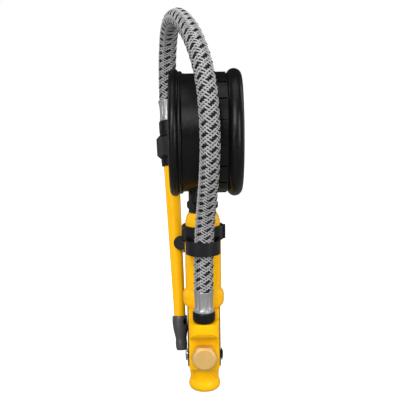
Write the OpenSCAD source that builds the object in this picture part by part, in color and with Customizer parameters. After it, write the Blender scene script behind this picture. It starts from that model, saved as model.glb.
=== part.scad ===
// Hand-held tyre inflator with a dial gauge, a braided hose and a clip-on wand.
// Origin: centre of the air inlet's bottom face. +Z runs up the handle to the gauge,
// -Y is the hose side, +Y is the lever side and the dial faces +X. Millimetres.

/* [Handle] */
// Outer diameter of the round barrel
barrel_d = 23.4; // [22.8:0.1:24]
// Outer diameter of the raised ring below the barrel
ring_d = 26.8; // [26:0.1:27.2]
// Width of the flat-sided valve block
block_w = 19.8; // [19.4:0.1:20]
// Height of the top of the dome, where the gauge screws on
dome_top = 119.5; // [118:0.5:121]
// Outer diameter of the flared inlet end
inlet_d = 20.8; // [20:0.1:22]
// Wall radius of the threaded inlet hole
inlet_r = 5.7; // [5.2:0.1:6]
// Depth of the threaded inlet hole
inlet_depth = 12; // [10:0.5:13]

/* [Lever] */
// Angle between the lever at rest and the lever squeezed home
lever_travel = 12; // [8:1:14]
// Height of the pivot pin
pivot_z = 21; // [20.5:0.1:21]
// Distance of the pivot pin behind the handle's axis
pivot_y = 6; // [5:0.5:7]
// Length of the lever above its pivot
lever_len = 66; // [50:1:70]

/* [Gauge] */
// Height of the dial's centre
gauge_z = 170.1; // [170:0.1:171]
// Outer radius of the rubber boot's rims
boot_r = 40; // [39.5:0.1:40.5]
// Outer radius of the metal case
case_r = 33; // [32:0.5:33]

/* [Hose] */
// Outer diameter of the braided hose
hose_d = 11.7; // [11:0.1:12]
// Distance of the hose port in front of the handle's axis
port_y = 20.2; // [20:0.1:20.5]
// Height of the top of the lower crimped ferrule
ferrule_top = 73; // [72.5:0.1:73.5]

/* [Wand] */
// Height of the top of the wand's ferrule, where the hose ends
wand_top = 187.7; // [187.5:0.1:188]
// Radius of the wand tube at its lower end
wand_r_low = 3.95; // [3.6:0.05:4.1]
// Radius of the wand tube at its upper end
wand_r_high = 5.3; // [5:0.05:5.4]
// Wall radius of the mouth that goes on the tyre valve
mouth_r = 2.7; // [2.6:0.05:2.75]

/* [Hidden] */
fit = 0.05;

barrel_r = barrel_d / 2;
ring_r = ring_d / 2;
block_front = 13;
block_back = 10;
block_low = 9.8;
block_high = 58;
valve_z = 27;
port_seat_z = 52.4;
chamber_r = 5.5;
seat_y = 1;
stem_r = 1.6;
gland_r = 3.2;
passage_y = 4.6;
sheet = 0.8;
lever_half = block_w / 2 + 0.2 + sheet;
web_gap = 14.4;
tooth_m = 0.2;
pinion_teeth = 16;
sector_teeth = 128;
gear_gap = 0.03;
gear_centre = tooth_m * (pinion_teeth + sector_teeth) / 2 + gear_gap;

// The wand's straight axis, as x and y against height
wand_dx = 0.046;
wand_dy = 0.24;
function wand_x(z) = -14.3 - wand_dx * z;
function wand_y(z) = 9.7 + wand_dy * z;
wand_lean = atan(wand_dy);
wand_tilt = atan(wand_dx / sqrt(1 + wand_dy * wand_dy));
function wand_len(dz) = dz * sqrt(1 + wand_dy * wand_dy + wand_dx * wand_dx);

// Places its children with their z axis along the wand, at the axis point of height z
module on_wand(z) {
    translate([wand_x(z), wand_y(z), z]) rotate([-wand_lean, 0, 0]) rotate([0, -wand_tilt, 0]) children();
}

// Radius of the tapered tube at height z
function wand_r(z) = wand_r_low + (wand_r_high - wand_r_low) * (z - 47) / 96;

// The hose's centreline, bottom fitting first
hose_route = [
    [0, -20.2, 73], [0, -20.2, 82], [0.2, -20.2, 92], [0.5, -20.4, 101], [0.9, -21.4, 110.5],
    [1.5, -24, 119.5], [2.3, -28.3, 128.5], [3, -33.7, 137], [3.7, -38.8, 146], [4.2, -42.7, 155],
    [4.6, -45.4, 165], [4.6, -46.6, 175.5], [4.2, -46.6, 186], [3.3, -44.9, 198.5], [1.6, -40.9, 209.2],
    [-0.7, -34.9, 218.6], [-3.9, -26.2, 227.4], [-7.4, -15.6, 234.4], [-11, -4.1, 239.2],
    [-13.3, 3.9, 241], [-15.6, 14.4, 241.5], [-17.9, 24.2, 240], [-19.7, 33.4, 236.4],
    [-21, 41.5, 230.8], [-21.9, 48.1, 223.6], [-22.6, 52.9, 215.2], [-22.95, 55.6, 205.6],
    [-23.05, 56.1, 197], [-23, 55.11, 189.2], [-22.93, 54.75, 187.7]
];

module ring(r_out, r_in, h) {
    difference() {
        cylinder(r = r_out, h = h, $fn = 64);
        translate([0, 0, -1]) cylinder(r = r_in, h = h + 2, $fn = 64);
    }
}

module hex_prism(af, h) {
    cylinder(r = af / 2 / cos(30), h = h, $fn = 6);
}

// A hexagon whose corners are turned off at both ends
module turned_hex(af, h, turn_r, bevel) {
    intersection() {
        hex_prism(af, h);
        rotate_extrude($fn = 64) polygon([
            [0, 0], [turn_r - bevel, 0], [turn_r, bevel], [turn_r, h - bevel], [turn_r - bevel, h], [0, h]
        ]);
    }
}

// A round bar along Y from y0 to y1, at height z
module bar_y(r, y0, y1, z) {
    translate([0, y0, z]) rotate([-90, 0, 0]) cylinder(r = r, h = y1 - y0, $fn = 48);
}

// A round bar along X from x0 to x1
module bar_x(r, x0, x1, y, z) {
    translate([x0, y, z]) rotate([0, 90, 0]) cylinder(r = r, h = x1 - x0, $fn = 48);
}

// A tube of radius r swept along points, with flat ends square to the path
function unit(v) = v / norm(v);
function heading(p, i) = unit(p[min(i + 1, len(p) - 1)] - p[max(i - 1, 0)]);
function side_of(d, up) = unit(cross(d, up));
module swept_tube(path, r, sides, up = [1, 0, 0.02]) {
    n = len(path);
    rings = [for (i = [0 : n - 1]) let (
        d = heading(path, i),
        u = side_of(d, up),
        w = cross(d, u)
    ) for (k = [0 : sides - 1]) path[i] + r * (cos(360 * k / sides) * u + sin(360 * k / sides) * w)];
    walls = [for (i = [0 : n - 2]) for (k = [0 : sides - 1]) let (
        a = i * sides + k,
        b = i * sides + (k + 1) % sides
    ) each [[a, b, b + sides], [a, b + sides, a + sides]]];
    caps = [
        [for (k = [0 : sides - 1]) sides - 1 - k],
        [for (k = [0 : sides - 1]) (n - 1) * sides + k]
    ];
    polyhedron(points = rings, faces = [for (f = concat(walls, caps)) [for (i = [len(f) - 1 : -1 : 0]) f[i]]]);
}

// A compression spring along z with its ends flat on their seats
function coil_points(r, pitch, turns, steps) = [
    for (i = [0 : turns * steps]) [r * cos(360 * i / steps), r * sin(360 * i / steps), pitch * i / steps]
];
module coil_spring(r, wire_r, length, turns) {
    translate([0, 0, wire_r])
        swept_tube(coil_points(r, (length - 2 * wire_r) / turns, turns, 16), wire_r, 6, [0, 0, 1]);
}

// Involute gear outline: radius of the base circle, roll angle and tooth half angle
function roll(r, rb) = r <= rb ? 0 : sqrt(r * r / (rb * rb) - 1) * 180 / PI;
function spread(r, rb) = roll(r, rb) - atan(roll(r, rb) * PI / 180);
function tooth(teeth, i, r_root, r_tip, slack) = let (
    rp = tooth_m * teeth / 2,
    rb = rp * cos(25),
    half = 90 / teeth * (1 - slack) + spread(rp, rb),
    radii = [for (k = [0 : 4]) r_root + (r_tip - r_root) * k / 4],
    at = i * 360 / teeth
) concat(
    [for (r = radii) r * [cos(at - half + spread(r, rb)), sin(at - half + spread(r, rb))]],
    [for (k = [4 : -1 : 0]) radii[k] * [cos(at + half - spread(radii[k], rb)), sin(at + half - spread(radii[k], rb))]]
);

// ---- handle ----

module rounded_block(x, y0, y1, r, z0, z1) {
    translate([0, 0, z0]) linear_extrude(z1 - z0) union() {
        translate([-x, y0 + r]) square([2 * x, y1 - y0 - 2 * r]);
        translate([-x + r, y0]) square([2 * x - 2 * r, y1 - y0]);
        for (sx = [-1, 1]) for (y = [y0 + r, y1 - r]) translate([sx * (x - r), y]) circle(r = r, $fn = 32);
    }
}

module barrel_outline() {
    rotate_extrude($fn = 96) union() {
        polygon([
            [0, 0], [7.6, 0], [8.8, 0.5], [9.6, 1.2], [inlet_d / 2 - 0.3, 2], [inlet_d / 2, 3],
            [inlet_d / 2, 4.2], [inlet_d / 2 - 0.2, 5.3], [inlet_d / 2 - 0.5, 6.2], [9.55, 7.2], [9.4, 8.2],
            [9.35, 9.4], [9.4, 10.4], [9.4, 13], [0, 13]
        ]);
        polygon([
            [0, 50], [9.6, 50], [9.6, 57.2], [ring_r - 1.6, 57.6], [ring_r - 0.4, 59], [ring_r, 61],
            [ring_r, 65], [ring_r - 0.4, 67], [ring_r - 1.4, 68.2], [barrel_r, 69], [barrel_r, 106],
            [10.95, 110], [0, 110]
        ]);
        intersection() {
            translate([0, 112.4]) circle(r = 11.2, $fn = 96);
            translate([0, 104]) square([12, dome_top - 104]);
        }
    }
}

// The valve block, rounding in to the neck at its lower end
module valve_block() {
    intersection() {
        rounded_block(block_w / 2, -block_front, block_back, 2, block_low, block_high);
        rotate_extrude($fn = 96) polygon([
            [0, 9], [9.35, 9], [9.45, 10.5], [9.6, 12.2], [9.85, 14], [10.4, 15.6], [11.6, 16.7],
            [13.4, 17.4], [16, 18], [17, 18.8], [17, block_high + 1], [0, block_high + 1]
        ]);
    }
}

module port_boss() {
    intersection() {
        translate([0, 0, 35]) linear_extrude(port_seat_z - 35) union() {
            translate([-9.5, -22.2]) square([19, 16]);
            translate([-4.3, -27.4]) square([8.6, 10]);
            for (s = [-1, 1]) translate([s * 4.3, -22.2]) circle(r = 5.2, $fn = 64);
        }
        translate([-12, 0, 0]) rotate([90, 0, 90]) linear_extrude(24) polygon([
            [-6, 36.4], [-12.9, 39.2], [-17, 40.5], [-23, 42.6], [-25.8, 44], [-27.2, 46.2], [-27.7, 48.6],
            [-27.7, 51], [-26.8, port_seat_z + 1], [-6, port_seat_z + 1]
        ]);
    }
}

module handle_body() color([0.99, 0.72, 0.05]) difference() {
    union() {
        barrel_outline();
        valve_block();
        port_boss();
    }
    // threaded inlet, filter seat and the way up to the valve chamber
    translate([0, 0, -1]) cylinder(r = inlet_r, h = inlet_depth + 1, $fn = 64);
    translate([0, 0, inlet_depth - 1]) cylinder(r = 4.4, h = 4, $fn = 48);
    translate([0, -3, 14]) cylinder(r = 2, h = 12, $fn = 32);
    // valve chamber from the front, seat pocket and the stem's way out at the back
    bar_y(chamber_r, -block_front - 1, seat_y, valve_z);
    bar_y(4, seat_y - 1, seat_y + 2, valve_z);
    bar_y(2.6, seat_y + 1, 7, valve_z);
    bar_y(gland_r, 6.8, block_back + 1, valve_z);
    // outlet gallery up to the gauge and across to the hose port
    translate([0, passage_y, valve_z]) cylinder(r = 1.7, h = 45, $fn = 32);
    translate([0, 0, 68]) cylinder(r = 5.5, h = 34, $fn = 48);
    translate([0, 0, 100]) cylinder(r = 2.5, h = 10, $fn = 32);
    translate([0, 0, dome_top - 14]) cylinder(r = 6, h = 15, $fn = 64);
    bar_y(1.7, -port_y, passage_y, 44.5);
    translate([0, -port_y, 43.5]) cylinder(r = 1.9, h = 12, $fn = 32);
    translate([0, -port_y, 46]) cylinder(r = 4, h = 10, $fn = 48);
    // pivot pin hole
    bar_x(2.5, -12, 12, pivot_y, pivot_z);
}

module hose_union() color([0.8, 0.68, 0.4]) difference() {
    union() {
        translate([0, -port_y, 46]) cylinder(r = 4 - fit, h = port_seat_z - 44, $fn = 48);
        translate([0, -port_y, port_seat_z]) cylinder(r = 4.7, h = 1.2, $fn = 48);
    }
    translate([0, -port_y, 45]) cylinder(r = 1.9, h = 11, $fn = 32);
}

module inlet_filter() color([0.6, 0.6, 0.58]) translate([0, 0, inlet_depth]) difference() {
    cylinder(r = 4.35, h = 1.4, $fn = 48);
    for (a = [0 : 60 : 300]) rotate([0, 0, a]) translate([2.4, 0, -1]) cylinder(r = 0.7, h = 4, $fn = 16);
    translate([0, 0, -1]) cylinder(r = 0.7, h = 4, $fn = 16);
}

// ---- valve, along Y at the height of the valve ----

module valve_plug() color([0.87, 0.71, 0.41]) difference() {
    union() {
        bar_y(chamber_r - fit, -block_front - 0.8, -8, valve_z);
        translate([0, -20, valve_z]) rotate([-90, 0, 0]) intersection() {
            hex_prism(15, 6.2);
            rotate_extrude($fn = 64) polygon([
                [0, 0], [6.3, 0], [6.9, 0.25], [7.5, 0.7], [8.2, 1.4], [8.8, 2.4], [8.8, 6.2], [0, 6.2]
            ]);
        }
    }
    bar_y(3.7, -11.2, -7, valve_z);
}

module plug_seal() color([0.12, 0.12, 0.12])
    translate([0, -block_front - 0.8, valve_z]) rotate([-90, 0, 0]) ring(7.2, chamber_r + fit, 0.8);

module valve_seat() color([0.15, 0.15, 0.15])
    translate([0, seat_y, valve_z]) rotate([-90, 0, 0]) ring(4, 2.5, 2);

module valve_spring() color([0.8, 0.8, 0.82])
    translate([0, -11.2, valve_z]) rotate([-90, 0, 0]) coil_spring(2.9, 0.3, 8.2, 5);

module poppet() color([0.82, 0.68, 0.36]) difference() {
    union() {
        bar_y(4.2, -3, -0.8, valve_z);
        bar_y(2.4, -4, -2, valve_z);
    }
    bar_y(1.2, -5, 0, valve_z);
}

module poppet_seal() color([0.1, 0.1, 0.1]) translate([0, -0.8, valve_z]) rotate([-90, 0, 0]) ring(4, 1.2, 1.75);

module valve_stem() color([0.82, 0.83, 0.85]) union() {
    bar_y(1.2, -4, 4, valve_z);
    bar_y(stem_r, 4, 14.4, valve_z);
    bar_y(1.2, 14.4, 15.6, valve_z);
}

module stem_gland() color([0.8, 0.66, 0.36]) translate([0, 7.5, valve_z]) rotate([-90, 0, 0]) difference() {
    union() {
        cylinder(r = gland_r - fit, h = 2.5, $fn = 48);
        translate([0, 0, 2.5]) cylinder(r = 4, h = 0.8, $fn = 48);
    }
    translate([0, 0, -1]) cylinder(r = stem_r + fit, h = 6, $fn = 48);
}

module stem_seal() color([0.1, 0.1, 0.1]) translate([0, 6.8, valve_z]) rotate([-90, 0, 0])
    ring(gland_r - fit, stem_r + fit, 0.7);

// ---- lever ----

// Side outline of one flange, drawn squeezed home, pivot at the origin
module flange_outline() {
    union() {
        circle(r = 8, $fn = 64);
        polygon([
            [-6, 0], [-6, 26], [-4.5, 30.5], [1, 33], [4.6, 35], [5.2, lever_len - 4], [6.4, lever_len],
            [web_gap - pivot_y + 0.4, lever_len], [web_gap - pivot_y + 0.4, -3], [4, -6.9], [0, -8]
        ]);
    }
}

module lever_channel() {
    web = web_gap - pivot_y;
    difference() {
        union() {
            for (side = [-1, 1]) translate([side * (lever_half - sheet / 2) - sheet / 2, 0, 0])
                rotate([90, 0, 90]) linear_extrude(sheet) flange_outline();
            translate([-lever_half, web, -3]) cube([2 * lever_half, sheet, lever_len + 3]);
            // finger curl at the free end
            translate([-lever_half, web + 3.4, lever_len]) rotate([0, 90, 0])
                rotate_extrude(angle = 75, start = 195, $fn = 48)
                    translate([3.4 - sheet, 0]) square([sheet, 2 * lever_half]);
        }
        bar_x(2.5 + fit, -20, 20, 0, 0);
    }
}

module lever() color([0.16, 0.16, 0.17])
    translate([0, pivot_y, pivot_z]) rotate([-lever_travel, 0, 0]) lever_channel();

module pivot_pin() color([0.85, 0.86, 0.88]) union() {
    bar_x(2.5, -11.4, 12.6, pivot_y, pivot_z);
    translate([-11.2, pivot_y, pivot_z]) rotate([0, -90, 0]) rotate_extrude($fn = 64)
        polygon([[0, 0], [4.2, 0], [4.2, 0.5], [3.8, 1], [2.6, 1.35], [0, 1.5]]);
}

module pin_clip() color([0.14, 0.14, 0.15]) difference() {
    union() {
        bar_x(3.9, 11.3, 12.1, pivot_y, pivot_z);
    }
    bar_x(2.5, 11, 13, pivot_y, pivot_z);
    translate([11, pivot_y - 0.9, pivot_z]) cube([2, 1.8, 6]);
}

// ---- storage clip on the barrel ----

// U-shaped loop in front of the barrel, seen from above
module clip_band_outline() {
    loop_r = 10.9;
    loop_y = -17.3;
    wall = 1.8;
    difference() {
        union() {
            translate([0, loop_y]) circle(r = loop_r, $fn = 96);
            translate([-loop_r, loop_y]) square([2 * loop_r, -loop_y - 2]);
        }
        translate([0, loop_y]) circle(r = loop_r - wall, $fn = 96);
        translate([wall - loop_r, loop_y]) square([2 * (loop_r - wall), 30]);
        circle(r = barrel_r + fit, $fn = 96);
    }
}

module clip_ring_profile() {
    translate([barrel_r + fit, 0]) square([1.7, 8]);
    translate([barrel_r + fit, 0]) square([0.7, 9]);
    translate([barrel_r + fit + 0.7, 8]) circle(r = 1, $fn = 32);
}

module clip_arm() {
    translate([-barrel_r - 1.75, 0, 0]) rotate([90, 0, 90]) linear_extrude(1.8) polygon([
        [-4, 100.6], [-4, 108], [6, 108], [27, 97.4], [37.4, 96.4], [35.2, 86.2], [26, 86.2], [6, 97.6]
    ]);
}

module jaw_lug(y0, y1, reach) {
    translate([0, y0, 0]) rotate([-90, 0, 0]) linear_extrude(y1 - y0) intersection() {
        translate([reach, 0]) circle(r = 4.8, $fn = 48);
        translate([-10, -10]) square([16.4, 20]);
    }
}

module storage_clip() color([0.09, 0.09, 0.1]) {
    jaw_z = 91.5;
    tube_gap = wand_r(jaw_z) + 0.35;
    difference() {
        union() {
            translate([0, 0, 96.4]) linear_extrude(8.4) clip_band_outline();
            translate([0, 0, 102.2]) rotate_extrude($fn = 96) clip_ring_profile();
            translate([barrel_r + 0.5, -3, 102.4]) cube([2.3, 6, 8.2]);
            clip_arm();
        }
        translate([0, 0, 84]) cylinder(r = barrel_r + fit, h = 30, $fn = 96);
        on_wand(jaw_z) translate([0, 0, -14]) cylinder(r = tube_gap, h = 28, $fn = 64);
    }
    on_wand(jaw_z) {
        jaw_lug(-tube_gap - 1.9, -tube_gap, 3.5);
        jaw_lug(tube_gap, tube_gap + 1.9, 3.5);
        translate([tube_gap, -tube_gap - 1, -4.8]) cube([1.5, 2 * tube_gap + 2, 9.6]);
    }
}

// ---- gauge, axis along X at gauge_z ----

module at_gauge() {
    translate([0, 0, gauge_z]) rotate([0, 90, 0]) children();
}

module gauge_stem() color([0.8, 0.66, 0.36]) difference() {
    union() {
        translate([0, 0, dome_top - 13]) cylinder(r = 6 - fit, h = 12.9, $fn = 48);
        translate([0, 0, dome_top - 1]) cylinder(r = 5, h = 23, $fn = 48);
        translate([-9, -7, 139.7]) cube([8.4, 14, 12.3]);
    }
    translate([0, 0, dome_top - 14]) cylinder(r = 1.5, h = 40, $fn = 32);
}

module stem_washer() color([0.07, 0.07, 0.08]) translate([0, 0, dome_top]) rotate_extrude($fn = 64)
    polygon([[5.05, 0], [8.9, 0], [8.9, 1.5], [8.6, 1.9], [5.05, 1.9]]);

module swivel_nut() color([0.2, 0.2, 0.21]) translate([0, 0, 121.5]) difference() {
    turned_hex(17.8, 5.2, 10, 1.1);
    translate([0, 0, -1]) cylinder(r = 5.05, h = 8, $fn = 48);
}

module neck_sleeve() color([0.08, 0.08, 0.09]) translate([0, 0, 126.75]) ring(8.85, 5.05, 10.4);

module gauge_case() color([0.13, 0.13, 0.14]) difference() {
    at_gauge() rotate_extrude($fn = 120) polygon([
        [0, -15], [case_r - 2, -15], [case_r, -13], [case_r, 15.5], [case_r - 1.2, 15.5], [case_r - 1.2, -12.4],
        [case_r - 2.4, -13.8], [0, -13.8]
    ]);
    translate([0, 0, 130]) cylinder(r = 5.05, h = 12, $fn = 48);
}

// Rubber boot: a drum with a double lip behind, raised pads and a wide front bumper
module boot_profile() {
    union() {
        translate([case_r + 0.1, -17.6]) square([3.9, 36]);
        translate([case_r - 8, -19.6]) square([10, 4.4]);
        intersection() {
            union() {
                translate([boot_r - 3, -16.9]) circle(r = 3, $fn = 48);
                translate([case_r - 2, -19.9]) square([boot_r - case_r - 1, 5]);
            }
            translate([case_r + 0.1, -20]) square([12, 9]);
        }
        translate([boot_r - 3, -13.2]) circle(r = 1.5, $fn = 48);
        translate([case_r + 1, -14.5]) square([boot_r - case_r - 3.9, 4]);
        intersection() {
            translate([boot_r - 4.85, 20.4]) circle(r = 4.85, $fn = 64);
            translate([case_r + 0.1, 14]) square([20, 13]);
        }
        translate([case_r + 0.1, 15.6]) square([3, 9.4]);
        polygon([
            [case_r - 3.4, 18.2], [case_r + 2.6, 18.2], [case_r + 2.6, 25.2], [case_r - 0.4, 24.9],
            [case_r - 2.4, 23.4], [case_r - 3.4, 21.2]
        ]);
    }
}

module gauge_boot() color([0.05, 0.05, 0.055]) {
    pads = 17;
    pad_r = 37.9;
    difference() {
        union() {
            at_gauge() rotate_extrude($fn = 120) boot_profile();
            at_gauge() translate([0, 0, 6.4]) difference() {
                ring(pad_r, case_r + 2, 8.8);
                for (i = [0 : pads - 1]) rotate([0, 0, 275.5 + i * 360 / pads])
                    translate([35, -0.75, -1]) cube([6, 1.5, 12]);
            }
        }
        translate([0, 0, 128]) cylinder(r = 8.9, h = 12, $fn = 48);
    }
}

module gauge_bezel() color([0.1, 0.1, 0.1]) at_gauge() translate([0, 0, 15.5]) difference() {
    ring(case_r, 28.5, 2.5);
    translate([0, 0, -1]) cylinder(r = 30.2, h = 2.2, $fn = 96);
}

module gauge_lens() color([0.85, 0.92, 0.95, 0.35]) at_gauge() translate([0, 0, 14.6])
    cylinder(r = 30.1, h = 2, $fn = 96);

module gauge_dial() color([0.95, 0.95, 0.93]) at_gauge() translate([0, 0, 8]) difference() {
    cylinder(r = 30, h = 0.8, $fn = 96);
    translate([0, 0, -1]) cylinder(r = 1.2, h = 3, $fn = 32);
    for (s = [-1, 1]) translate([0, s * 9, -1]) cylinder(r = 0.8, h = 3, $fn = 24);
}

module dial_screws() color([0.75, 0.75, 0.77]) at_gauge() for (s = [-1, 1]) translate([0, s * 9, 0]) {
    translate([0, 0, 6.2]) cylinder(r = 0.8, h = 3, $fn = 24);
    translate([0, 0, 8.8]) difference() {
        cylinder(r = 1.5, h = 0.8, $fn = 24);
        translate([-2, -0.2, 0.4]) cube([4, 0.4, 1]);
    }
}

// The pressure tube: a flattened C from the stem's block, over the top, to its closed tip
module bourdon_tube() color([0.8, 0.62, 0.3]) at_gauge() rotate([0, 0, 93])
    rotate_extrude(angle = 250, $fn = 96) translate([22, -5]) union() {
        translate([-0.9, -2.4]) square([1.8, 4.8]);
        for (s = [-1, 1]) translate([0, 2.4 * s]) circle(r = 0.9, $fn = 24);
    }

// The link from the tube's tip, slotted where the sector's tail pin travels
module tip_link() color([0.75, 0.75, 0.77]) at_gauge() {
    tip = [0.6, 22];
    slot_low = [gear_centre, 7];
    slot_high = [10.5, 5.7];
    along = slot_high - slot_low;
    turn = atan2(along[1], along[0]);
    bar = slot_high - tip;
    translate([tip[0], tip[1], -6]) cylinder(r = 1.3, h = 9.2, $fn = 32);
    translate([0, 0, 3]) linear_extrude(0.5) difference() {
        union() {
            translate(slot_low) circle(r = 2, $fn = 32);
            translate(slot_high) circle(r = 2, $fn = 32);
            translate(slot_low) rotate(turn) translate([0, -1.8]) square([norm(along), 3.6]);
            translate(tip) circle(r = 1.5, $fn = 32);
            translate(tip) rotate(atan2(bar[1], bar[0])) translate([0, -0.9]) square([norm(bar) - 1.2, 1.8]);
        }
        for (p = [slot_low, slot_high]) translate(p) circle(r = 0.95, $fn = 32);
        translate(slot_low) rotate(turn) translate([0, -0.82]) square([norm(along), 1.64]);
    }
}

module plate_outline(low) {
    union() {
        translate([-5, -10.5]) square([9, 21]);
        translate([-2, -5.5]) square([low + 2, 11]);
    }
}

module movement_plate() color([0.83, 0.7, 0.42]) at_gauge() difference() {
    union() {
        translate([0, 0, -0.6]) linear_extrude(1) plate_outline(27);
        translate([0, 0, 4.2]) linear_extrude(0.8) plate_outline(17.6);
        for (p = [[-3.4, -7], [-3.4, 7], [16.4, -4]])
            translate([p[0], p[1], 0]) cylinder(r = 1, h = 4.6, $fn = 24);
        for (s = [-1, 1]) translate([0, 9 * s, 4.6]) cylinder(r = 1.4, h = 3.35, $fn = 24);
    }
    for (x = [0, gear_centre]) translate([x, 0, -1]) cylinder(r = 0.65, h = 8, $fn = 24);
    for (s = [-1, 1]) translate([0, 9 * s, 6]) cylinder(r = 0.8, h = 3, $fn = 24);
    for (s = [-1, 1]) translate([22.5, 3.6 * s, -1]) cylinder(r = 1, h = 3, $fn = 24);
}

module movement_screws() color([0.7, 0.7, 0.72]) at_gauge() for (s = [-1, 1]) translate([22.5, 3.6 * s, 0]) {
    translate([0, 0, -0.6]) cylinder(r = 0.95, h = 1.2, $fn = 24);
    translate([0, 0, 0.4]) difference() {
        cylinder(r = 1.7, h = 0.9, $fn = 24);
        translate([-2, -0.2, 0.5]) cube([4, 0.4, 1]);
    }
}

module sector_gear() color([0.84, 0.7, 0.4]) at_gauge() translate([gear_centre, 0, 0]) {
    root = tooth_m * sector_teeth / 2 - 0.26;
    tip = tooth_m * sector_teeth / 2 + 0.18;
    first = 180 - 12.5 * 360 / sector_teeth;
    translate([0, 0, 1.4]) linear_extrude(1) union() {
        circle(r = 1.7, $fn = 32);
        polygon(concat([[0, 0]], [for (i = [-0.5 : 13.5]) each [(root - 0.05) * [
            cos(first + i * 360 / sector_teeth),
            sin(first + i * 360 / sector_teeth)
        ]]]));
        for (i = [0 : 13]) rotate(first)
            polygon(concat([0.9 * root * [cos(i * 360 / sector_teeth), sin(i * 360 / sector_teeth)]],
                tooth(sector_teeth, i, root - 0.1, tip, 0.12)));
        translate([-0.8, 0]) square([1.6, 7]);
        translate([0, 7]) circle(r = 0.9, $fn = 24);
    }
    translate([0, 0, -0.5]) cylinder(r = 0.6, h = 5.4, $fn = 24);
    translate([0, 7, 1.6]) cylinder(r = 0.5, h = 2.3, $fn = 24);
}

// Pointer, hub, shaft and pinion in one; the blade points at the zero mark
module pointer() color([0.08, 0.08, 0.08]) at_gauge() {
    root = tooth_m * pinion_teeth / 2 - 0.25;
    tip = tooth_m * pinion_teeth / 2 + 0.18;
    translate([0, 0, 0.9]) linear_extrude(2) union() {
        circle(r = root, $fn = 32);
        for (i = [0 : pinion_teeth - 1])
            polygon(concat([[0, 0]], tooth(pinion_teeth, i, root - 0.1, tip, 0.12)));
    }
    translate([0, 0, -0.5]) cylinder(r = 0.6, h = 11, $fn = 24);
    translate([0, 0, 10]) cylinder(r = 2.2, h = 1.5, $fn = 48);
    rotate([0, 0, -45]) translate([0, 0, 10.2]) linear_extrude(0.5)
        polygon([[-9, -1.5], [-8, 1.5], [0, 1.3], [25, 0.25], [25, -0.25], [0, -1.3], [-8, -1.5]]);
}

// ---- hose and its lower fittings ----

module hose_nut() color([0.06, 0.06, 0.07]) translate([0, -port_y, port_seat_z]) rotate_extrude($fn = 64) polygon([
    [4.8, 0], [5.2, 0], [6.1, 0.4], [6.75, 1.1], [7, 2], [7.1, 3.2], [7.1, 6.2], [6.85, 6.7], [2.6, 6.7],
    [2.6, 4], [4.8, 4]
]);

// Crimped sleeve of the given length: a lip at its foot, a squeezed waist and a flared mouth
module ferrule(length, waist, mouth) rotate_extrude($fn = 64) polygon([
    [2.6, 0], [6.1, 0], [6.4, 0.4], [6.4, 1.3], [6.15, 2], [waist + 0.15, 3.2], [waist, 4.6],
    [waist, length / 2], [waist + 0.1, length - 4.2], [(waist + mouth) / 2, length - 2.2],
    [mouth - 0.1, length - 0.9], [mouth, length], [2.6, length]
]);

module lower_ferrule() color([0.78, 0.79, 0.8])
    translate([0, -port_y, port_seat_z + 6.75]) ferrule(ferrule_top - port_seat_z - 6.77, 5.5, 6.3);

module barb(length) difference() {
    union() {
        cylinder(r = 4.6, h = 1.8, $fn = 48);
        cylinder(r = 2.5, h = length, $fn = 48);
    }
    translate([0, 0, -1]) cylinder(r = 1.5, h = length + 2, $fn = 32);
}

module lower_barb() color([0.8, 0.66, 0.36]) translate([0, -port_y, port_seat_z + 2.1])
    barb(ferrule_top - port_seat_z - 2.2);

module hose() color([0.62, 0.62, 0.63]) swept_tube(hose_route, hose_d / 2, 12);

// ---- wand ----

ferrule_low = 173.7;
fitting_low = 163.9;
coupling_low = 148.8;
neck_low = 143.4;
chuck_low = 20.8;

module upper_ferrule() color([0.78, 0.79, 0.8]) on_wand(ferrule_low)
    ferrule(wand_len(wand_top - ferrule_low) - 0.03, 5.85, 6.8);

module upper_barb() color([0.8, 0.66, 0.36]) on_wand(ferrule_low - 5)
    barb(wand_len(wand_top - ferrule_low + 5) - 0.1);

module hose_fitting() color([0.07, 0.07, 0.08]) on_wand(fitting_low) rotate_extrude($fn = 64) {
    h = wand_len(ferrule_low - fitting_low);
    polygon([
        [2.6, h], [2.6, 8], [4.7, 8], [4.7, 0], [6.6, 0], [6.95, 0.4], [6.95, 2], [7.1, 2.4], [7.1, h - 0.8],
        [6.8, h - 0.1], [6.3, h - 0.1], [6.3, h]
    ]);
}

module wand_coupling() color([0.09, 0.09, 0.1]) on_wand(neck_low) difference() {
    union() {
        translate([0, 0, wand_len(coupling_low - neck_low)]) rotate([0, 0, 0])
            turned_hex(16.5, wand_len(fitting_low - coupling_low) - 0.05, 9.55, 2);
        rotate_extrude($fn = 64) polygon([
            [0, 0], [6.3, 0], [6.6, 0.4], [6.9, wand_len(coupling_low - neck_low)], [6.9, 7], [0, 7]
        ]);
    }
    translate([0, 0, -1]) cylinder(r = 5.42, h = 5, $fn = 64);
    translate([0, 0, 3]) cylinder(r = 2.4, h = 30, $fn = 32);
}

module wand_tube() color([0.98, 0.74, 0.08]) on_wand(38.4) difference() {
    length = wand_len(neck_low - 38.4) + 3.9;
    cylinder(r1 = wand_r(38.4), r2 = wand_r(147.2), h = length, $fn = 64);
    translate([0, 0, -1]) cylinder(r = 2.4, h = length + 2, $fn = 32);
}

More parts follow.
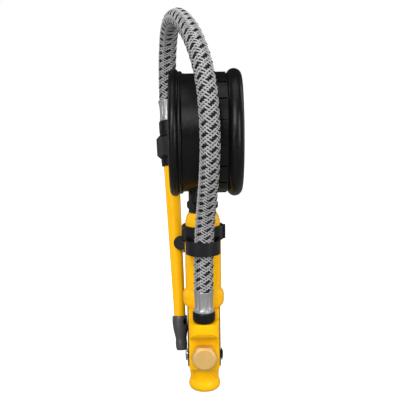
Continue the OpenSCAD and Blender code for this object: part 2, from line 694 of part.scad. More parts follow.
module chuck_head() color([0.1, 0.1, 0.11]) on_wand(chuck_low) difference() {
    intersection() {
        rotate_extrude($fn = 96) polygon([
            [0, 0], [3.15, 0], [3.4, 0.35], [3.6, 0.9], [3.8, 1.8], [3.93, 3.2], [3.97, 4.4], [3.92, 5.6],
            [3.8, 6.8], [3.78, 7.8],
            [3.95, 9], [4.3, 10.8], [4.75, 13], [5.1, 15.2], [5.3, 17.4], [5.38, 19.6], [5.3, 21.8],
            [5.1, 23], [4.8, 23.3], [0, 23.3]
        ]);
        translate([-8, -8, -1]) cube([12.8, 16, 26]);
    }
    translate([0, 0, -1]) cylinder(r = mouth_r, h = 8, $fn = 64);
    translate([0, 0, 6.4]) cylinder(r = 3.35, h = 1.6, $fn = 64);
    translate([0, 0, 7]) cylinder(r = 2.8, h = 9, $fn = 48);
    translate([0, 0, 15]) cylinder(r = 1.5, h = 4, $fn = 32);
    translate([0, 0, 17.4]) cylinder(r = 4.05, h = 8, $fn = 64);
    rotate([0, 0, screw_turn]) translate([4, 0, 19.3]) rotate([0, 90, 0]) cylinder(r = 2.1, h = 4, $fn = 32);
}

screw_turn = -46;
module chuck_screw() color([0.04, 0.04, 0.04]) on_wand(chuck_low) rotate([0, 0, screw_turn])
    translate([4.06, 0, 19.3]) rotate([0, 90, 0]) difference() {
        cylinder(r = 2, h = 0.7, $fn = 32);
        translate([0, 0, 0.3]) cylinder(r = 0.9, h = 1, $fn = 6);
    }

module chuck_seal() color([0.15, 0.15, 0.15]) on_wand(chuck_low) translate([0, 0, 6.4])
    ring(3.3, 1.4, 1.5);

module chuck_pin() color([0.82, 0.7, 0.4]) on_wand(chuck_low) {
    translate([0, 0, 6.7]) cylinder(r = 0.9, h = 3, $fn = 32);
    translate([0, 0, 8.6]) cylinder(r = 2.4, h = 1.2, $fn = 32);
    translate([0, 0, 9]) cylinder(r = 1.2, h = 3, $fn = 32);
}

module chuck_spring() color([0.8, 0.8, 0.82]) on_wand(chuck_low) translate([0, 0, 9.8]) coil_spring(1.9, 0.25, 6.2, 4);

handle_body();
hose_union();
inlet_filter();
valve_plug();
plug_seal();
valve_seat();
valve_spring();
poppet();
poppet_seal();
valve_stem();
stem_gland();
stem_seal();
lever();
pivot_pin();
pin_clip();
storage_clip();
gauge_stem();
stem_washer();
swivel_nut();
neck_sleeve();
gauge_case();
gauge_boot();
gauge_bezel();
gauge_lens();
gauge_dial();
dial_screws();
bourdon_tube();
tip_link();
movement_plate();
movement_screws();
sector_gear();
pointer();
hose_nut();
lower_ferrule();
lower_barb();
hose();
upper_ferrule();
upper_barb();
hose_fitting();
wand_coupling();
wand_tube();
chuck_head();
chuck_screw();
chuck_seal();
chuck_pin();
chuck_spring();
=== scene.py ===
"""Hand-held tyre inflator gauge: looks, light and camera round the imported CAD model, in metres."""

import math

import bpy
from mathutils import Matrix, Vector


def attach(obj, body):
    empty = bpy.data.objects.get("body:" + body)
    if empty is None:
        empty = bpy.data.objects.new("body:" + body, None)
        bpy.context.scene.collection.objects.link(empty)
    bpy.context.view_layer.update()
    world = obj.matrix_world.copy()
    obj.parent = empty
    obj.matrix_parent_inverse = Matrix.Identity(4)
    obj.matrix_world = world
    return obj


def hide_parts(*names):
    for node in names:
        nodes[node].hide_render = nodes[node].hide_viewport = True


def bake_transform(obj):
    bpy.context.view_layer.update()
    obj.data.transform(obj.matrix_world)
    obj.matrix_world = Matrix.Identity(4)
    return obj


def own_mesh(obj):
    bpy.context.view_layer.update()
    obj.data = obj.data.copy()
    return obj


MM = 0.001
TAU = 2 * math.pi

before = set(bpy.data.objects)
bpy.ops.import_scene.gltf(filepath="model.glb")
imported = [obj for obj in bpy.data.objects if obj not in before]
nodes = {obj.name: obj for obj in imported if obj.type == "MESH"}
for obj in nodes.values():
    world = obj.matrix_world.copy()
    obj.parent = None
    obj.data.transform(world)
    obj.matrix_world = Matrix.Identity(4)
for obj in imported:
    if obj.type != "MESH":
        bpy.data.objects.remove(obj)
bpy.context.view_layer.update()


def add_object(name, data):
    added = bpy.data.objects.new(name, data)
    bpy.context.scene.collection.objects.link(added)
    return added


# ---------------------------------------------------------------- camera

CAMERA_AIM = Vector((-0.0015, 0.0, 0.127))
CAMERA_DISTANCE = 0.5
CAMERA_ELEVATION = math.radians(10)
CAMERA_ROLL = math.radians(0.77)
SENSOR_WIDTH = 36.0
FOCAL_LENGTH = 70.3


def make_camera():
    back = Vector((0.0, -math.cos(CAMERA_ELEVATION), math.sin(CAMERA_ELEVATION)))
    data = bpy.data.cameras.new("camera")
    data.sensor_width, data.lens = SENSOR_WIDTH, FOCAL_LENGTH
    data.clip_start, data.clip_end = 0.01, 20.0
    camera = add_object("camera", data)
    place = Matrix.Translation(CAMERA_AIM + back * CAMERA_DISTANCE)
    turn = (-back).to_track_quat("-Z", "Y").to_matrix().to_4x4()
    camera.matrix_world = place @ turn @ Matrix.Rotation(-CAMERA_ROLL, 4, "Z")
    bpy.context.scene.camera = camera


make_camera()


# ---------------------------------------------------------------- materials

# the Mix node's colour sockets, which share their names with its number and vector sockets
MIX_A, MIX_B, MIX_RESULT = 6, 7, 2


def shade(colour, factor):
    return tuple(min(1.0, c * factor) for c in colour)


class Graph:
    """A small helper round one material's node tree. Texture scales count grains to the metre."""

    def __init__(self, name, metallic=0.0, roughness=0.5, alpha=1.0, gloss=0.5):
        self.material = bpy.data.materials.new(name)
        self.material.use_nodes = True
        self.tree = self.material.node_tree
        self.shader = self.tree.nodes["Principled BSDF"]
        self.set("Metallic", metallic)
        self.set("Roughness", roughness)
        self.set("Alpha", alpha)
        self.set("Specular IOR Level", gloss)
        self.place = self.add("ShaderNodeTexCoord").outputs["Object"]
        self.normal = None

    def add(self, kind):
        return self.tree.nodes.new(kind)

    def set(self, socket, value):
        self.shader.inputs[socket].default_value = value

    def link(self, source, target):
        self.tree.links.new(source, target)

    def stretched(self, stretch):
        """Object coordinates scaled by stretch, for grain that runs one way."""
        node = self.add("ShaderNodeMapping")
        node.inputs["Scale"].default_value = stretch
        self.link(self.place, node.inputs["Vector"])
        return node.outputs["Vector"]

    def noise(self, scale, detail=3.0, rough=0.55, stretch=None):
        node = self.add("ShaderNodeTexNoise")
        node.inputs["Scale"].default_value = scale
        node.inputs["Detail"].default_value = detail
        node.inputs["Roughness"].default_value = rough
        self.link(self.stretched(stretch) if stretch else self.place, node.inputs["Vector"])
        return node.outputs["Fac"]

    def voronoi(self, scale):
        node = self.add("ShaderNodeTexVoronoi")
        node.inputs["Scale"].default_value = scale
        self.link(self.place, node.inputs["Vector"])
        return node.outputs["Distance"]

    def attribute(self, name):
        node = self.add("ShaderNodeAttribute")
        node.attribute_name = name
        return node.outputs["Fac"]

    def span(self, source, low, high, first=0.25, last=0.75):
        """Maps source from first..last to low..high."""
        node = self.add("ShaderNodeMapRange")
        values = {"From Min": first, "From Max": last, "To Min": low, "To Max": high}
        for socket, value in values.items():
            node.inputs[socket].default_value = value
        self.link(source, node.inputs["Value"])
        return node.outputs["Result"]

    def mix(self, factor, a, b):
        """From a to b by factor, where each is a colour or another node's output."""
        node = self.add("ShaderNodeMix")
        node.data_type = "RGBA"
        self.link(factor, node.inputs["Factor"])
        for socket, value in ((node.inputs[MIX_A], a), (node.inputs[MIX_B], b)):
            if isinstance(value, tuple):
                socket.default_value = (*value, 1.0)
            else:
                self.link(value, socket)
        return node.outputs[MIX_RESULT]

    def blotched(self, base, scale, spread):
        """Soft colour variation round base."""
        node = self.add("ShaderNodeValToRGB")
        stops = ((0.3, shade(base, 1 - spread)), (0.7, shade(base, 1 + spread)))
        for element, (at, colour) in zip(node.color_ramp.elements, stops):
            element.position = at
            element.color = (*colour, 1.0)
        self.link(self.noise(scale), node.inputs["Fac"])
        return node.outputs["Color"]

    def colour(self, source):
        self.link(source, self.shader.inputs["Base Color"])

    def roughness(self, source):
        self.link(source, self.shader.inputs["Roughness"])

    def bump(self, source, strength, distance):
        """Adds relief on top of any that is there already."""
        node = self.add("ShaderNodeBump")
        node.inputs["Strength"].default_value = strength
        node.inputs["Distance"].default_value = distance
        self.link(source, node.inputs["Height"])
        if self.normal is not None:
            self.link(self.normal, node.inputs["Normal"])
        self.normal = node.outputs["Normal"]
        self.link(self.normal, self.shader.inputs["Normal"])


def paint(name, base, roughness, gloss):
    """Sprayed coating: faint dark specks, uneven gloss and a little orange peel."""
    g = Graph(name, gloss=gloss)
    specks = g.span(g.noise(900, detail=4.0), 0.0, 0.35, first=0.45, last=0.75)
    g.colour(g.mix(specks, g.blotched(base, 60, 0.05), shade(base, 0.86)))
    g.roughness(g.span(g.noise(240, detail=5.0), roughness - 0.07, roughness + 0.1))
    g.bump(g.noise(1500, detail=2.0), strength=0.12, distance=0.0002)
    g.bump(g.noise(260, detail=2.0), strength=0.1, distance=0.0006)
    return g.material


def moulded(name, base, roughness, grain=2600, strength=0.25, gloss=0.5):
    """Fine-grained plastic or rubber."""
    g = Graph(name, gloss=gloss)
    g.colour(g.blotched(base, 110, 0.18))
    g.roughness(g.span(g.noise(500, detail=5.0), roughness - 0.08, roughness + 0.1))
    g.bump(g.voronoi(grain), strength, distance=0.00008)
    g.bump(g.noise(420), strength=0.12, distance=0.0004)
    return g.material


def metal(
    name, base, roughness, stretch=None, strength=0.18, scale=420, metallic=1.0, tarnish=0.16
):
    """Turned, drawn or brushed metal: stretch sets the way its fine lines run."""
    g = Graph(name, metallic=metallic)
    lines = g.noise(scale, detail=6.0, rough=0.65, stretch=stretch)
    cloud = g.span(g.noise(75, detail=4.0), 0.0, 1.0, first=0.35, last=0.7)
    g.colour(g.mix(cloud, shade(base, 1.0 + tarnish * 0.4), shade(base, 1.0 - tarnish)))
    g.roughness(g.span(lines, roughness - 0.08, roughness + 0.12))
    g.bump(lines, strength, distance=0.00012)
    return g.material


def yarn(name, base, gloss):
    """Twisted fibres, with painted shade where yarns or strands meet, read from a per-point
    attribute.
    """
    g = Graph(name, roughness=0.45, gloss=gloss)
    fibre = g.noise(5200, rough=0.6)
    dull_to_lit = g.span(fibre, 0.0, 1.0, first=0.35, last=0.7)
    lit = g.mix(dull_to_lit, shade(base, 0.75), shade(base, 1.2))
    # painted shade: the yarn's colour falls to 0.08 of itself in the gaps between yarns and strands
    g.colour(g.mix(g.attribute("painted_shade"), lit, shade(base, 0.08)))
    g.roughness(g.span(g.noise(900), 0.35, 0.6))
    g.bump(fibre, strength=0.4, distance=0.0001)
    return g.material


def clear_plastic(name, base, alpha):
    """Lightly handled clear plastic."""
    g = Graph(name, roughness=0.06, alpha=alpha)
    g.set("IOR", 1.5)
    g.colour(g.blotched(base, 40, 0.03))
    g.roughness(g.span(g.noise(300, detail=4.0), 0.03, 0.11))
    return g.material


YELLOW = paint("yellow_paint", (0.9, 0.46, 0.001), 0.3, gloss=0.15)
BLACK_METAL = paint("black_coating", (0.006, 0.006, 0.0065), 0.4, gloss=0.15)
CHUCK = paint("chuck_coating", (0.05, 0.05, 0.053), 0.38, gloss=0.5)
LEVER = paint("lever_coating", (0.008, 0.008, 0.009), 0.55, gloss=0.1)
DIAL = paint("dial_white", (0.84, 0.84, 0.82), 0.5, gloss=0.3)
BOOT = moulded("boot_rubber", (0.003, 0.003, 0.0033), 0.34, 1900, 0.14, gloss=0.22)
CLIP = moulded("clip_nylon", (0.008, 0.008, 0.0095), 0.42, 2400, 0.2, gloss=0.22)
NECK = moulded("neck_plastic", (0.006, 0.006, 0.007), 0.38, 2600, 0.12, gloss=0.3)
SEAL = moulded("seal_rubber", (0.01, 0.01, 0.01), 0.6, 3000, 0.2, gloss=0.35)
LINER = moulded("liner_rubber", (0.006, 0.006, 0.006), 0.7, 2600, 0.25, gloss=0.2)
INK = moulded("ink_black", (0.012, 0.012, 0.012), 0.55)
NEEDLE = moulded("needle_black", (0.012, 0.012, 0.012), 0.45)
BRASS = metal(
    "brass", (0.67, 0.42, 0.135), 0.5, strength=0.1, scale=500, metallic=0.3, tarnish=0.08
)
BRONZE = metal("bronze", (0.62, 0.36, 0.14), 0.36, stretch=(1.0, 1.0, 0.2))
STEEL = metal("steel", (0.6, 0.6, 0.62), 0.3, stretch=(0.15, 1.0, 1.0))
FERRULE = metal(
    "ferrule_steel", (0.37, 0.37, 0.375), 0.4, stretch=(1.0, 1.0, 0.12), strength=0.25,
    scale=700, metallic=0.6,
)
YARN = yarn("yarn_grey", (0.41, 0.41, 0.41), gloss=0.3)
TRACER = yarn("yarn_black", (0.006, 0.006, 0.007), gloss=0.2)
LENS = clear_plastic("lens", (0.9, 0.93, 0.95), alpha=0.1)

LOOKS = {
    YELLOW: ["handle_body", "wand_tube"],
    BRASS: [
        "hose_union", "valve_plug", "poppet", "stem_gland", "lower_barb", "upper_barb",
        "chuck_pin", "movement_plate", "sector_gear", "gauge_stem",
    ],
    BRONZE: ["bourdon_tube"],
    STEEL: [
        "valve_seat", "valve_spring", "valve_stem", "pivot_pin", "tip_link", "dial_screws",
        "movement_screws", "chuck_spring", "inlet_filter",
    ],
    FERRULE: ["lower_ferrule", "upper_ferrule"],
    SEAL: ["plug_seal", "poppet_seal", "stem_seal", "stem_washer", "chuck_seal"],
    BLACK_METAL: [
        "pin_clip", "swivel_nut", "gauge_bezel", "hose_nut", "hose_fitting", "wand_coupling",
        "chuck_screw", "gauge_case",
    ],
    LEVER: ["lever"],
    CLIP: ["storage_clip"],
    NECK: ["neck_sleeve"],
    BOOT: ["gauge_boot"],
    LENS: ["gauge_lens"],
    DIAL: ["gauge_dial"],
    NEEDLE: ["pointer"],
    YARN: ["hose"],
    CHUCK: ["chuck_head"],
}
for look, names in LOOKS.items():
    for name in names:
        mesh = nodes[name].data
        mesh.materials.clear()
        mesh.materials.append(look)

# how wide each CAD node's sharp edges are rounded, in mm
EDGES = {
    "handle_body": 0.5, "valve_plug": 0.18, "lever": 0.12, "storage_clip": 0.35,
    "pivot_pin": 0.3, "swivel_nut": 0.25, "neck_sleeve": 0.25, "stem_washer": 0.2,
    "gauge_boot": 0.3, "gauge_case": 0.3, "gauge_bezel": 0.3, "gauge_lens": 0.2,
    "gauge_dial": 0.1, "hose_nut": 0.25, "hose_fitting": 0.25, "wand_coupling": 0.35,
    "wand_tube": 0.15, "chuck_head": 0.2, "chuck_screw": 0.08, "plug_seal": 0.15,
    "pin_clip": 0.1, "valve_stem": 0.15, "stem_gland": 0.15, "hose_union": 0.2,
    "inlet_filter": 0.1, "dial_screws": 0.1, "pointer": 0.06, "chuck_seal": 0.15,
}
SHARP_ANGLE = math.radians(32)


def soften(piece, width):
    """Rounds the sharp edges of a CAD node with a modifier and shades it smooth."""
    bevel = piece.modifiers.new("edges", "BEVEL")
    bevel.width, bevel.segments = width * MM, 2
    bevel.limit_method, bevel.angle_limit = "ANGLE", SHARP_ANGLE
    for polygon in piece.data.polygons:
        polygon.use_smooth = True
    weighted = piece.modifiers.new("normals", "WEIGHTED_NORMAL")
    weighted.weight = 80


for name, width in EDGES.items():
    soften(nodes[name], width)


# ---------------------------------------------------------------- mesh helpers


def new_piece(name, points, faces, materials, body, face_materials=None):
    """A smooth-shaded mesh that rides on body, or on none if no body is given."""
    mesh = bpy.data.meshes.new(name)
    mesh.from_pydata([tuple(p) for p in points], [], faces)
    for material in materials:
        mesh.materials.append(material)
    if face_materials:
        mesh.polygons.foreach_set("material_index", face_materials)
    mesh.polygons.foreach_set("use_smooth", [True] * len(mesh.polygons))
    mesh.update()
    piece = add_object(name, mesh)
    if body:
        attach(piece, body)
    return piece


def strip_faces(rows, width, base=0):
    """Faces between rows of width points each, numbered from base and open at both sides."""
    firsts = (base + row * width + k for row in range(rows - 1) for k in range(width - 1))
    return [(a, a + 1, a + width + 1, a + width) for a in firsts]


def tube_faces(rings, sides, base=0):
    """Faces between closed rings of sides points each, numbered from base."""
    faces = []
    for ring in range(rings - 1):
        for k in range(sides):
            a, b = base + ring * sides + k, base + ring * sides + (k + 1) % sides
            faces.append((a, b, b + sides, a + sides))
    return faces


def axes_from(axis):
    """Unit vectors: along axis, square to it and as near +X as can be, and square to both."""
    along = Vector(axis).normalized()
    side = Vector((1, 0, 0))
    side = (side - along * side.dot(along)).normalized()
    return along, side, along.cross(side)


def smooth_path(points, step):
    """Points about a step apart along a Catmull-Rom curve through the given ones."""
    pieces = 24  # into which each stretch between two given points is cut before measuring
    points = [Vector(p) for p in points]
    ends = [2 * points[0] - points[1]] + points + [2 * points[-1] - points[-2]]
    dense = []
    for i in range(1, len(ends) - 2):
        a, b, c, d = ends[i - 1 : i + 3]
        square, cube = 2 * a - 5 * b + 4 * c - d, 3 * b - a - 3 * c + d
        for k in range(pieces):
            t = k / pieces
            dense.append(0.5 * (2 * b + (c - a) * t + square * t**2 + cube * t**3))
    dense.append(points[-1])
    lengths = [0.0]
    for p, q in zip(dense, dense[1:]):
        lengths.append(lengths[-1] + (q - p).length)
    count = max(2, round(lengths[-1] / step))
    out, j = [], 0
    for i in range(count + 1):
        want = lengths[-1] * i / count
        while j < len(lengths) - 2 and lengths[j + 1] < want:
            j += 1
        t = (want - lengths[j]) / max(1e-12, lengths[j + 1] - lengths[j])
        out.append(dense[j].lerp(dense[j + 1], min(1.0, t)))
    return out, lengths[-1]


def frames_along(path, side):
    """Each point of path with two vectors square to it, carried along without twist."""
    frames, side = [], Vector(side)
    for i, point in enumerate(path):
        along = (path[min(i + 1, len(path) - 1)] - path[max(i - 1, 0)]).normalized()
        side = (side - along * side.dot(along)).normalized()
        frames.append((point, side.copy(), along.cross(side)))
    return frames


# ---------------------------------------------------------------- hose

# up from the grip, over the gauge and down behind it to the wand, in mm
HOSE_ROUTE = [
    (0, -20.2, 73), (0, -20.2, 82), (0.2, -20.2, 92), (0.5, -20.4, 101), (0.9, -21.4, 110.5),
    (1.5, -24, 119.5), (2.3, -28.3, 128.5), (3, -33.7, 137), (3.7, -38.8, 146),
    (4.2, -42.7, 155), (4.6, -45.4, 165), (4.6, -46.6, 175.5), (4.2, -46.6, 186),
    (3.3, -44.9, 198.5), (1.6, -40.9, 209.2), (-0.7, -34.9, 218.6), (-3.9, -26.2, 227.4),
    (-7.4, -15.6, 234.4), (-11, -4.1, 239.2), (-13.3, 3.9, 241), (-15.6, 14.4, 241.5),
    (-17.9, 24.2, 240), (-19.7, 33.4, 236.4), (-21, 41.5, 230.8), (-21.9, 48.1, 223.6),
    (-22.6, 52.9, 215.2), (-22.95, 55.6, 205.6), (-23.05, 56.1, 197), (-23, 55.11, 189.2),
    (-22.93, 54.75, 187.7),
]
TUCKED_IN = 1.2 * MM  # braid hidden in each ferrule's mouth
PATH_STEP = 0.5 * MM
CORD_POINT_EVERY, LINER_RING_EVERY = 6, 4  # steps of the path
CARRIERS = 12  # strands wound each way
TRACER_EVERY = 3  # right-hand strands
PARTS = 2  # mesh steps from one crossing to the next
LAY = 25.5 * MM  # length of one turn of a strand
BUNCHING, BUNCHED_OVER = 0.2, 40 * MM  # extra turns near the lower ferrule, and how they fade
MARKS_AT = math.radians(-5)  # where a column of black marks lies, every 60 degrees
BRAID_R = 5.6 * MM
BRAID_LIFT = 0.25 * MM  # how far a strand rises over the others and dips under them
STEEPNESS = 1.5  # of the rise from under to over
STRAND_HALF_WIDTH = TAU / CARRIERS * 0.48
TRACER_WIDTH, TRACER_LIFT = 1.5, 0.16 * MM  # the black strands are thicker
LINER_R, LINER_SIDES = 5.1 * MM, 24
# across one strand of two round yarns and the gap beside it: place from -1 to 1, height in
# mm, and how much painted shade falls there, from 0 to 1
STRAND = [
    (-1, -0.5, 1), (-0.58, -0.18, 1), (-0.44, 0.1, 0.1), (-0.24, 0.25, 0), (0, 0.1, 0.3),
    (0.24, 0.25, 0), (0.44, 0.1, 0.1), (0.58, -0.18, 1), (1, -0.5, 1),
]


def braid_turns(s):
    """Turns made by a strand up to s, a little closer together next to the lower ferrule."""
    return s / LAY + BUNCHING * (1 - math.exp(-s / BUNCHED_OVER))


def surface_of(path, length):
    """A function that gives the point at s along path, at an angle and radius round it."""
    frames = frames_along(path, (1, 0, 0))

    def point_at(s, angle, radius):
        at = min(max(s / length, 0.0), 1.0) * (len(path) - 1)
        i = min(int(at), len(path) - 2)
        t = at - i
        (p, u, v), (q, m, n) = frames[i], frames[i + 1]
        side = u.lerp(m, t) * math.cos(angle) + v.lerp(n, t) * math.sin(angle)
        return p.lerp(q, t) + side * radius

    return point_at


def wind_strand(point_at, length, steps, way, carrier, black):
    """Points of one strand and how much painted shade each gets between yarns, in steps + 1 rows."""
    wider, lift = (TRACER_WIDTH, TRACER_LIFT) if black else (1.0, 0.0)
    start = TAU * (carrier if way == 1 else carrier - 0.5) / CARRIERS
    points, painted_shades = [], []
    for step in range(steps + 1):
        s = length * step / steps
        angle = way * TAU * braid_turns(s) + start + MARKS_AT
        wave = math.cos(CARRIERS / 2 * (angle - MARKS_AT)) * way
        height = max(-1.0, min(1.0, STEEPNESS * wave)) * BRAID_LIFT
        for place, rise, painted_shade in STRAND:
            turned = angle + place * STRAND_HALF_WIDTH * wider
            points.append(point_at(s, turned, BRAID_R + height + lift + rise * MM))
            painted_shades.append(painted_shade)
    return points, painted_shades


def make_hose():
    """A 2-over 2-under braid of twelve strands each way: every third right-hand one is black."""
    route = [Vector(p) * MM for p in HOSE_ROUTE]
    first = (route[0] - route[1]).normalized()
    last = (route[-1] - route[-2]).normalized()
    route = [route[0] + first * TUCKED_IN] + route + [route[-1] + last * TUCKED_IN]
    path, length = smooth_path(route, PATH_STEP)
    point_at = surface_of(path, length)
    steps = round(braid_turns(length) * 2 * CARRIERS * PARTS)
    points, faces, looks, painted_shades = [], [], [], []
    for way in (1, -1):
        for carrier in range(CARRIERS):
            black = way == 1 and carrier % TRACER_EVERY == 0
            strand, strand_shades = wind_strand(point_at, length, steps, way, carrier, black)
            quads = strip_faces(steps + 1, len(STRAND), len(points))
            points += strand
            painted_shades += strand_shades
            faces += quads
            looks += [1 if black else 0] * len(quads)
    # the dark liner that shows between the strands
    rings = len(path) // LINER_RING_EVERY
    quads = tube_faces(rings + 1, LINER_SIDES, len(points))
    for i in range(rings + 1):
        for k in range(LINER_SIDES):
            points.append(point_at(length * i / rings, TAU * k / LINER_SIDES, LINER_R))
            painted_shades.append(1)
    faces += quads
    looks += [2] * len(quads)
    piece = new_piece("hose_braid", points, faces, [YARN, TRACER, LINER], None, looks)
    # this per-point attribute holds the painted shade between yarns and strands
    piece.data.attributes.new("painted_shade", "FLOAT", "POINT").data.foreach_set("value", painted_shades)
    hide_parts("hose")
    centre = [tuple(p) for p in path[::CORD_POINT_EVERY]] + [tuple(path[-1])]
    tuple(route[1])
    return piece


hose = make_hose()


# ---------------------------------------------------------------- crimped ferrules

CRIMPS = 16  # jaws of the crimping tool, so flats round each ferrule
SIDES_PER_CRIMP = 12
RIDGE_HEIGHT, FLAT_DEPTH = 0.36, 0.1  # between the crimped flats and in them, in mm
WAND_FOOT, WAND_SLOPE = Vector((-14.3, 9.7, 0)), Vector((-0.046, 0.24, 1))  # in mm


def wand_point(z):
    """The point of the wand's axis at height z."""
    return WAND_FOOT + WAND_SLOPE * z


def make_ferrule(name, foot, axis, length, waist, mouth, body):
    """A crimped sleeve: a lip at its foot, flats pressed into its waist and a flared mouth."""
    # radius, height, and how much of the crimp shows there
    profile = [
        (2.6, 0, 0), (5.9, 0, 0), (6.3, 0.2, 0), (6.4, 0.6, 0), (6.4, 1.3, 0), (6.25, 1.8, 0.1),
        (waist + 0.4, 2.4, 0.4), (waist + 0.15, 3.2, 0.8), (waist, 4.6, 1),
        (waist - 0.05, length * 0.42, 1), (waist, length * 0.58, 1),
        (waist + 0.1, length - 4.2, 0.9), ((waist + mouth) / 2 - 0.05, length - 2.4, 0.5),
        (mouth - 0.15, length - 1.1, 0.15), (mouth, length - 0.5, 0), (mouth, length - 0.15, 0),
        (mouth - 0.2, length, 0), (waist + 0.1, length - 0.3, 0), (2.6, length - 0.3, 0),
    ]
    sides = CRIMPS * SIDES_PER_CRIMP
    along, side, up = axes_from(axis)
    points = []
    for radius, height, pressed in profile:
        for k in range(sides):
            angle = TAU * k / sides
            ridge = abs(math.cos(CRIMPS / 2 * angle)) ** 4
            r = radius + pressed * (RIDGE_HEIGHT * ridge - FLAT_DEPTH)
            out = side * math.cos(angle) + up * math.sin(angle)
            points.append((Vector(foot) + along * height + out * r) * MM)
    faces = tube_faces(len(profile), sides)
    piece = new_piece(name + "_crimped", points, faces, [FERRULE], body)
    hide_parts(name)


make_ferrule("lower_ferrule", (0, -20.2, 59.15), (0, 0, 1), 13.83, 5.5, 6.3, "handle")
UPPER_FOOT, UPPER_MOUTH = wand_point(173.7), wand_point(187.7)
UPPER_AXIS = UPPER_MOUTH - UPPER_FOOT
make_ferrule(
    "upper_ferrule", UPPER_FOOT, UPPER_AXIS, UPPER_AXIS.length - 0.03, 5.85, 6.8, "wand"
)


# ---------------------------------------------------------------- dial

DIAL_FRONT, DIAL_CENTRE = 8.8, 170.1  # x of the dial's face and z of its middle, in mm
DIAL_SWEEP, DIAL_TOP = 270, 10  # degrees and scale value from the first mark to the last
ZERO_AT = 225  # degrees from +Y of the zero mark, low on the -Y side
TICK_OUTER, RING_OUTER, NUMBERS_R = 28, 28.35, 19.2
RING_HALF = 0.68  # half of each short bar that the ring outside the ticks is made of
NUMBER_SIZE, NUMBER_THICK = 5.2 * MM, 0.02 * MM
# how many tenths of the scale apart ticks lie, their inner radius and half their width
TICKS = ((10, 23.2, 0.32), (5, 24.6, 0.2), (1, 26, 0.1))
DEGREES_PER_TENTH = DIAL_SWEEP / (DIAL_TOP * 10)


def on_dial(radius, turn, height):
    """A point height above the dial; turn grows clockwise from zero as seen from +X."""
    angle = math.radians(ZERO_AT - turn)
    y, z = radius * math.cos(angle), DIAL_CENTRE + radius * math.sin(angle)
    return Vector((DIAL_FRONT + height, y, z)) * MM


def add_tick(points, faces, turn, r_in, r_out, half):
    """A printed bar from r_in to r_out, half wide to each side."""
    base = len(points)
    for height in (-0.02, 0.04):  # just under the dial's face and just over it
        for radius, shift in ((r_in, -half), (r_in, half), (r_out, half), (r_out, -half)):
            points.append(on_dial(radius, turn + math.degrees(shift / radius), height))
    faces.append((base + 4, base + 5, base + 6, base + 7))
    faces.extend(tube_faces(2, 4, base))


def add_number(points, faces, value):
    """A printed number, upright as seen from +X."""
    curve = bpy.data.curves.new("number", "FONT")
    curve.body, curve.size, curve.extrude = str(value), NUMBER_SIZE, NUMBER_THICK
    curve.align_x, curve.align_y, curve.resolution_u = "CENTER", "CENTER", 3
    letter = add_object("number", curve)
    mesh = bpy.data.meshes.new_from_object(letter)
    at, base = on_dial(NUMBERS_R, value * DEGREES_PER_TENTH * 10, 0.03), len(points)
    points.extend(Vector((at.x + v.co.z, at.y + v.co.x, at.z + v.co.y)) for v in mesh.vertices)
    faces.extend(tuple(base + i for i in polygon.vertices) for polygon in mesh.polygons)
    bpy.data.objects.remove(letter)
    bpy.data.curves.remove(curve)
    bpy.data.meshes.remove(mesh)


def make_dial_marks():
    """A clockwise scale printed on the dial, with plain numbers."""
    points, faces = [], []
    tenths = DIAL_TOP * 10
    for i in range(tenths + 1):
        _, r_in, half = next(kind for kind in TICKS if i % kind[0] == 0)
        add_tick(points, faces, i * DEGREES_PER_TENTH, r_in, TICK_OUTER, half)
    for i in range(tenths):
        middle = (i + 0.5) * DEGREES_PER_TENTH
        add_tick(points, faces, middle, TICK_OUTER, RING_OUTER, RING_HALF)
    for value in range(0, DIAL_TOP + 1, 2):
        add_number(points, faces, value)
    piece = new_piece("dial_marks", points, faces, [INK], "handle")
    for polygon in piece.data.polygons:
        polygon.use_smooth = False


make_dial_marks()


# ---------------------------------------------------------------- thread and springs


def make_inlet_thread():
    """The pipe thread's ridges, wound up the inside of the inlet hole."""
    pitch, turns, sides, start = 1.337, 7, 48, 0.9
    ridge = ((5.75, -0.5), (5.3, -0.06), (5.3, 0.06), (5.75, 0.5))  # radius and height
    points = []
    for i in range(turns * sides + 1):
        angle, low = TAU * i / sides, start + pitch * i / sides
        for radius, height in ridge:
            x, y = radius * math.cos(angle), radius * math.sin(angle)
            points.append(Vector((x, y, low + height)) * MM)
    faces = strip_faces(turns * sides + 1, len(ridge))
    new_piece("inlet_thread", points, faces, [STEEL], "handle")


def make_spring(name, low, axis, radius, wire, length, turns, body):
    """A compression spring with closed ends."""
    along, side, up = axes_from(axis)
    low = Vector(low)
    per_turn, sides = 28, 8
    closed = 0.8  # turns at each end that lie almost flat
    lay = 0.3  # of the wire's thickness, which is how far each of those ends rises
    steps = round((turns + 2 * closed) * per_turn)
    path = []
    for i in range(steps + 1):
        turn = i / per_turn
        rise = min(max((turn - closed) / turns, 0.0), 1.0)
        in_ends = (min(turn, closed) + max(turn - turns - closed, 0.0)) / closed
        between = length - 2 * wire - 4 * lay * wire
        height = wire + between * rise + 2 * wire * lay * in_ends
        out = side * math.cos(TAU * turn) + up * math.sin(TAU * turn)
        path.append(low + along * height + out * radius)
    points = []
    for p, u, v in frames_along(path, along):
        for k in range(sides):
            angle = TAU * k / sides
            points.append((p + (u * math.cos(angle) + v * math.sin(angle)) * wire) * MM)
    faces = tube_faces(steps + 1, sides)
    faces.append(tuple(reversed(range(sides))))
    faces.append(tuple(range(steps * sides, steps * sides + sides)))
    piece = new_piece(name + "_coil", points, faces, [STEEL], body)
    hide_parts(name)
    tuple(along)
    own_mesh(piece)


make_inlet_thread()
make_spring(
    "valve_spring", low=(0, -11.2, 27), axis=(0, 1, 0), radius=2.9, wire=0.3, length=8.2,
    turns=5, body="handle",
)
WAND_AXIS = WAND_SLOPE.normalized()
make_spring(
    "chuck_spring", low=wand_point(20.8) + WAND_AXIS * 9.8, axis=WAND_AXIS, radius=1.9,
    wire=0.25, length=6.2, turns=4, body="wand",
)


# ---------------------------------------------------------------- stage and light

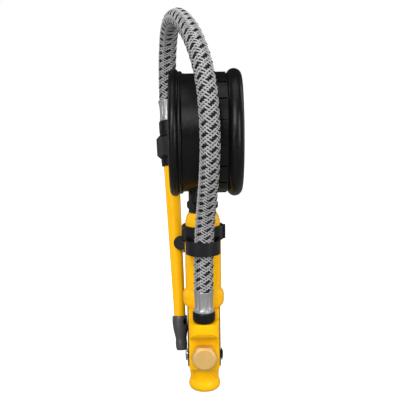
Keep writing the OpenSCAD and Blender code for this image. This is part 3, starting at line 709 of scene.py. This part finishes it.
FLOOR_SIZE, FLOOR_DROP = 6.0, -0.0006
BACKDROP, FILL, REFLECTED = 1.0, 0.55, 0.04  # the world's strength as seen, as light, in gloss
LIGHTS_AIM = Vector((0.0, 0.0, 0.12))
LIGHTS = [  # name, place, width and height, power
    ("strip_left", (-0.62, -0.85, 0.25), (0.12, 0.9), 3.0),
    ("strip_right", (0.7, -0.75, 0.25), (0.12, 0.9), 6.5),
    ("rim_left", (-0.8, 0.45, 0.3), (0.3, 0.9), 1.4),
    ("rim_right", (0.8, 0.45, 0.3), (0.3, 0.9), 2.0),
    ("softbox_top", (0.0, -0.1, 1.0), (0.9, 0.6), 2.5),
    ("softbox_front", (-0.36, -0.98, 0.85), (0.5, 0.6), 10.5),
]


def by_ray(tree, kind, others, chosen):
    """The shader chosen for the rays of one kind, and others for the rest."""
    ray = tree.nodes.new("ShaderNodeLightPath")
    mix = tree.nodes.new("ShaderNodeMixShader")
    tree.links.new(ray.outputs[kind], mix.inputs["Fac"])
    tree.links.new(others, mix.inputs[1])
    tree.links.new(chosen, mix.inputs[2])
    return mix.outputs["Shader"]


def make_stage():
    """A floor that the camera sees as white and that throws little light on the object."""
    mesh = bpy.data.meshes.new("floor")
    sides = ((-1, -1), (1, -1), (1, 1), (-1, 1))
    corners = [(x * FLOOR_SIZE, y * FLOOR_SIZE, FLOOR_DROP) for x, y in sides]
    mesh.from_pydata(corners, [], [(0, 1, 2, 3)])
    floor = add_object("floor", mesh)
    g = Graph("floor_white", roughness=0.9)
    g.colour(g.blotched((0.25, 0.25, 0.25), 3, 0.01))
    glow = g.add("ShaderNodeEmission")
    glow.inputs["Strength"].default_value = BACKDROP
    both = g.add("ShaderNodeAddShader")
    g.link(g.shader.outputs["BSDF"], both.inputs[0])
    g.link(glow.outputs["Emission"], both.inputs[1])
    shown = by_ray(g.tree, "Is Camera Ray", g.shader.outputs["BSDF"], both.outputs["Shader"])
    g.link(shown, g.tree.nodes["Material Output"].inputs["Surface"])
    mesh.materials.append(g.material)


def make_world():
    """White behind the object, dimmer as fill light and nearly dark in reflections."""
    world = bpy.data.worlds.new("studio")
    world.use_nodes = True
    tree = world.node_tree
    tree.nodes.remove(tree.nodes["Background"])

    def backdrop(strength):
        node = tree.nodes.new("ShaderNodeBackground")
        node.inputs["Color"].default_value = (1.0, 1.0, 1.0, 1.0)
        node.inputs["Strength"].default_value = strength
        return node.outputs["Background"]

    lit = by_ray(tree, "Is Diffuse Ray", backdrop(REFLECTED), backdrop(FILL))
    shader = by_ray(tree, "Is Camera Ray", lit, backdrop(BACKDROP))
    tree.links.new(shader, tree.nodes["World Output"].inputs["Surface"])
    bpy.context.scene.world = world


def make_light(name, at, size, power):
    data = bpy.data.lights.new(name, "AREA")
    data.shape = "RECTANGLE"
    data.size, data.size_y = size
    data.energy = power
    lamp = add_object(name, data)
    lamp.location = at
    lamp.rotation_mode = "QUATERNION"
    lamp.rotation_quaternion = (LIGHTS_AIM - Vector(at)).to_track_quat("-Z", "Y")


make_stage()
make_world()
for light in LIGHTS:
    make_light(*light)
bpy.context.scene.view_settings.view_transform = "Standard"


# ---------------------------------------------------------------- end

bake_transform(hose)
